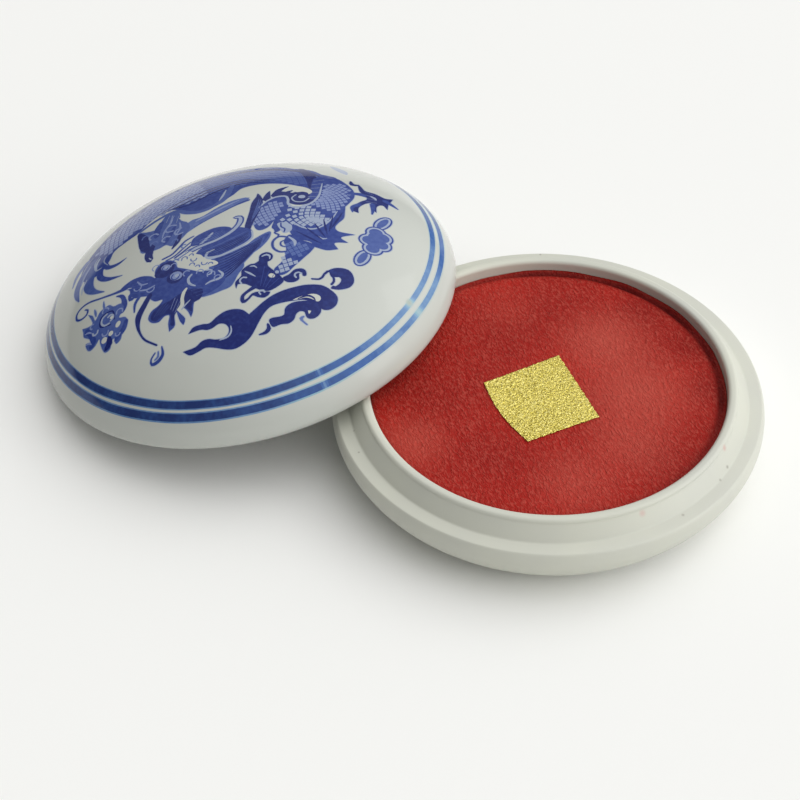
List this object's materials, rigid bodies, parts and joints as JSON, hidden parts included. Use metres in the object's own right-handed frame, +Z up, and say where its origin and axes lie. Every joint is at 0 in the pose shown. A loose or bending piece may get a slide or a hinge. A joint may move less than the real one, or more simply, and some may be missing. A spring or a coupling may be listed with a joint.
{
  "type": "seal paste box",
  "caption": "Round shallow dish of red seal paste with a square of gold foil on it, and a low domed lid with a blue print that leans on the dish's lip.",
  "frame": {"origin": "on the table, in the middle of the outline that the dish and the lid beside it have together", "axes": "+X from the lid towards the dish, along the line of their two centres; +Z up, along the dish's axis"},
  "size_m": [0.1649, 0.0948, 0.0344],
  "materials": {
    "bisque_porcelain": "matte",
    "red_paste": "satin",
    "gold_leaf": "satin",
    "glazed_porcelain": "gloss"
  },
  "bodies": {
    "base": {"base_dish": "bisque_porcelain", "seal_paste": "red_paste", "gold_foil": "gold_leaf"},
    "lid": {"lid_shell": "glazed_porcelain"}
  },
  "joints": [
    {"name": "lid_lift", "type": "slide", "parent": "base", "child": "lid", "axis": [0, 0, 1], "range_m": [0, 0.06]}
  ]
}
